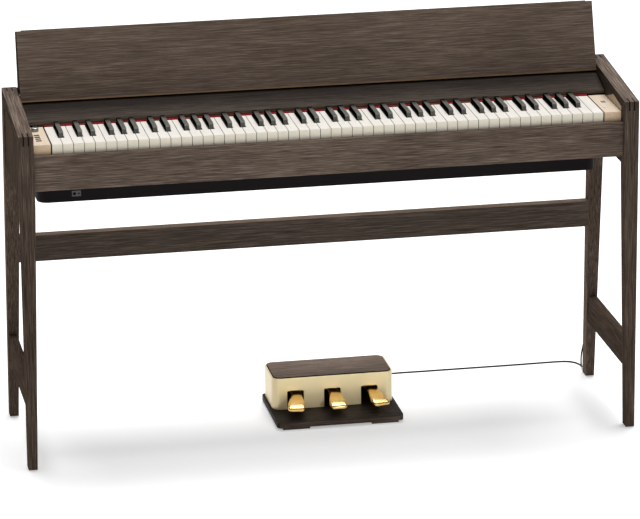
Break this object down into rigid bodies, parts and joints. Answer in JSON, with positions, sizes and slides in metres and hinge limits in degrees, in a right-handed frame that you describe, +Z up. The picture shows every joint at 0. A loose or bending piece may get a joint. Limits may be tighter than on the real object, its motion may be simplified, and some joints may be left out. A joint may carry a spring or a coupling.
{
  "type": "digital piano on stand",
  "caption": "Slim digital piano on an open wooden stand, with a folding lid raised as a tent, pale end blocks and a separate pedal unit on a cord.",
  "frame": {"origin": "on the floor, midway across the width and midway between the front legs' front faces and the rear legs' heels", "axes": "+X to the player's right, along the keyboard; +Y away from the player; +Z up"},
  "size_m": [1.372, 0.4748, 0.9198],
  "materials": {
    "stand_wood": "dark brushed walnut stain, matt open grain",
    "spline_wood": "near-black stained wood",
    "cabinet_wood": "dark brushed walnut stain, matt open grain",
    "lid_wood": "dark brushed walnut stain, matt open grain",
    "bed_board": "black stained board",
    "pale_block": "smooth beige, slight wood tint",
    "chassis_black": "black powder coat",
    "felt": "deep red felt",
    "edge_brass": "antique satin brass",
    "hinge_steel": "bronzed steel",
    "knob_metal": "satin silver top, dark side",
    "button_dark": "dark grey",
    "button_white": "white",
    "display_grey": "dark grey window",
    "jack_plate": "dark grey",
    "speaker_black": "black",
    "board_green": "green circuit board",
    "shaft_steel": "zinc-plated steel",
    "white_keytop": "ivory white, soft satin",
    "black_keytop": "black, ebony-like satin",
    "pedal_wood": "dark stain, matt",
    "pedal_top_wood": "brushed walnut stain, matt",
    "shell_champagne": "champagne gold satin",
    "pedal_gold": "polished gold-coloured brass",
    "cord_black": "black flexible sheath",
    "glide_rubber": "dark rubber"
  },
  "bodies": {
    "piano": {"front_legs": "stand_wood", "rear_legs": "stand_wood", "arms": "stand_wood", "side_panels": "stand_wood", "side_stretchers": "stand_wood", "back_beam": "stand_wood", "corner_splines": "spline_wood", "front_rail": "cabinet_wood", "fallboard": "cabinet_wood", "top_board": "cabinet_wood", "key_bed": "bed_board", "back_board": "bed_board", "end_block_left": "pale_block", "end_block_right": "pale_block", "arm_liners": "pale_block", "chassis_tray": "chassis_black", "felt_strip": "felt", "lid_back_hinge": "hinge_steel", "display_window": "display_grey", "headphone_jacks": "jack_plate", "rear_jacks": "jack_plate", "speakers": "speaker_black", "circuit_boards": "board_green", "key_pivot_rail": "shaft_steel", "pedal_shaft": "shaft_steel", "stand_bolts": "shaft_steel", "pedal_base": "pedal_wood", "pedal_top_board": "pedal_top_wood", "pedal_shell": "shell_champagne", "pedal_cord": "cord_black", "cord_relief": "cord_black", "cord_plug": "cord_black", "cord_clips": "cord_black", "foot_glides": "glide_rubber"},
    "lid_rear": {"lid_rear_leaf": "lid_wood", "lid_fold_hinge": "hinge_steel"},
    "lid_front": {"lid_front_leaf": "lid_wood", "lid_edge_strip": "edge_brass", "lid_guide_pins": "hinge_steel"},
    "knob": {"volume_knob": "knob_metal"},
    "button_1": {"sound_button_1": "button_dark"},
    "button_2": {"sound_button_2": "button_dark"},
    "button_3": {"sound_button_3": "button_dark"},
    "button_4": {"sound_button_4": "button_dark"},
    "button_power": {"power_button": "button_white"},
    "keys_c_body": {"keys_c": "white_keytop"},
    "keys_d_body": {"keys_d": "white_keytop"},
    "keys_e_body": {"keys_e": "white_keytop"},
    "keys_f_body": {"keys_f": "white_keytop"},
    "keys_g_body": {"keys_g": "white_keytop"},
    "keys_a_body": {"keys_a": "white_keytop"},
    "keys_b_body": {"keys_b": "white_keytop"},
    "keys_c_sharp_body": {"keys_c_sharp": "black_keytop"},
    "keys_d_sharp_body": {"keys_d_sharp": "black_keytop"},
    "keys_f_sharp_body": {"keys_f_sharp": "black_keytop"},
    "keys_g_sharp_body": {"keys_g_sharp": "black_keytop"},
    "keys_a_sharp_body": {"keys_a_sharp": "black_keytop"},
    "pedal_left_body": {"pedal_left": "pedal_gold"},
    "pedal_middle_body": {"pedal_middle": "pedal_gold"},
    "pedal_right_body": {"pedal_right": "pedal_gold"}
  },
  "joints": [
    {"name": "lid_lift", "type": "hinge", "parent": "piano", "child": "lid_rear", "pos_m": [0, 0.104, 0.7878], "axis": [1, 0, 0], "range_deg": [0, 104.9]},
    {"name": "lid_fold", "type": "hinge", "parent": "lid_rear", "child": "lid_front", "pos_m": [0, 0.11044, 0.91552], "axis": [-1, 0, 0], "range_deg": [0, 171.65]},
    {"name": "volume_turn", "type": "hinge", "parent": "piano", "child": "knob", "pos_m": [-0.634, -0.057, 0.733], "axis": [0, 0, -1], "range_deg": [-140, 140]},
    {"name": "button_1_press", "type": "slide", "parent": "piano", "child": "button_1", "axis": [0, 0, -1], "range_m": [0, 0.001], "stiffness_N_per_m": 300, "springref_m": -0.002},
    {"name": "button_2_press", "type": "slide", "parent": "piano", "child": "button_2", "axis": [0, 0, -1], "range_m": [0, 0.001], "stiffness_N_per_m": 300, "springref_m": -0.002},
    {"name": "button_3_press", "type": "slide", "parent": "piano", "child": "button_3", "axis": [0, 0, -1], "range_m": [0, 0.001], "stiffness_N_per_m": 300, "springref_m": -0.002},
    {"name": "button_4_press", "type": "slide", "parent": "piano", "child": "button_4", "axis": [0, 0, -1], "range_m": [0, 0.001], "stiffness_N_per_m": 300, "springref_m": -0.002},
    {"name": "power_press", "type": "slide", "parent": "piano", "child": "button_power", "axis": [0, 0, -1], "range_m": [0, 0.001], "stiffness_N_per_m": 300, "springref_m": -0.002},
    {"name": "keys_c_press", "type": "hinge", "parent": "piano", "child": "keys_c_body", "pos_m": [0, 0.079, 0.721], "axis": [1, 0, 0], "range_deg": [0, 2.3], "stiffness_Nm_per_rad": 12, "springref_deg": -11.46},
    {"name": "keys_d_press", "type": "hinge", "parent": "piano", "child": "keys_d_body", "pos_m": [0, 0.079, 0.721], "axis": [1, 0, 0], "range_deg": [0, 2.3], "stiffness_Nm_per_rad": 12, "springref_deg": -11.46},
    {"name": "keys_e_press", "type": "hinge", "parent": "piano", "child": "keys_e_body", "pos_m": [0, 0.079, 0.721], "axis": [1, 0, 0], "range_deg": [0, 2.3], "stiffness_Nm_per_rad": 12, "springref_deg": -11.46},
    {"name": "keys_f_press", "type": "hinge", "parent": "piano", "child": "keys_f_body", "pos_m": [0, 0.079, 0.721], "axis": [1, 0, 0], "range_deg": [0, 2.3], "stiffness_Nm_per_rad": 12, "springref_deg": -11.46},
    {"name": "keys_g_press", "type": "hinge", "parent": "piano", "child": "keys_g_body", "pos_m": [0, 0.079, 0.721], "axis": [1, 0, 0], "range_deg": [0, 2.3], "stiffness_Nm_per_rad": 12, "springref_deg": -11.46},
    {"name": "keys_a_press", "type": "hinge", "parent": "piano", "child": "keys_a_body", "pos_m": [0, 0.079, 0.721], "axis": [1, 0, 0], "range_deg": [0, 2.3], "stiffness_Nm_per_rad": 12, "springref_deg": -11.46},
    {"name": "keys_b_press", "type": "hinge", "parent": "piano", "child": "keys_b_body", "pos_m": [0, 0.079, 0.721], "axis": [1, 0, 0], "range_deg": [0, 2.3], "stiffness_Nm_per_rad": 12, "springref_deg": -11.46},
    {"name": "keys_c_sharp_press", "type": "hinge", "parent": "piano", "child": "keys_c_sharp_body", "pos_m": [0, 0.079, 0.721], "axis": [1, 0, 0], "range_deg": [0, 2.3], "stiffness_Nm_per_rad": 8, "springref_deg": -11.46},
    {"name": "keys_d_sharp_press", "type": "hinge", "parent": "piano", "child": "keys_d_sharp_body", "pos_m": [0, 0.079, 0.721], "axis": [1, 0, 0], "range_deg": [0, 2.3], "stiffness_Nm_per_rad": 8, "springref_deg": -11.46},
    {"name": "keys_f_sharp_press", "type": "hinge", "parent": "piano", "child": "keys_f_sharp_body", "pos_m": [0, 0.079, 0.721], "axis": [1, 0, 0], "range_deg": [0, 2.3], "stiffness_Nm_per_rad": 8, "springref_deg": -11.46},
    {"name": "keys_g_sharp_press", "type": "hinge", "parent": "piano", "child": "keys_g_sharp_body", "pos_m": [0, 0.079, 0.721], "axis": [1, 0, 0], "range_deg": [0, 2.3], "stiffness_Nm_per_rad": 8, "springref_deg": -11.46},
    {"name": "keys_a_sharp_press", "type": "hinge", "parent": "piano", "child": "keys_a_sharp_body", "pos_m": [0, 0.079, 0.721], "axis": [1, 0, 0], "range_deg": [0, 2.3], "stiffness_Nm_per_rad": 8, "springref_deg": -11.46},
    {"name": "pedal_left_press", "type": "hinge", "parent": "piano", "child": "pedal_left_body", "pos_m": [0.0405, 0.125, 0.042], "axis": [1, 0, 0], "range_deg": [0, 5], "stiffness_Nm_per_rad": 12, "springref_deg": -14.32},
    {"name": "pedal_middle_press", "type": "hinge", "parent": "piano", "child": "pedal_middle_body", "pos_m": [0.0405, 0.125, 0.042], "axis": [1, 0, 0], "range_deg": [0, 5], "stiffness_Nm_per_rad": 12, "springref_deg": -14.32},
    {"name": "pedal_right_press", "type": "hinge", "parent": "piano", "child": "pedal_right_body", "pos_m": [0.0405, 0.125, 0.042], "axis": [1, 0, 0], "range_deg": [0, 5], "stiffness_Nm_per_rad": 12, "springref_deg": -14.32}
  ],
  "couplings": [
    {"joint": "lid_fold", "follows": "lid_lift", "ratio": 1.6363}
  ]
}
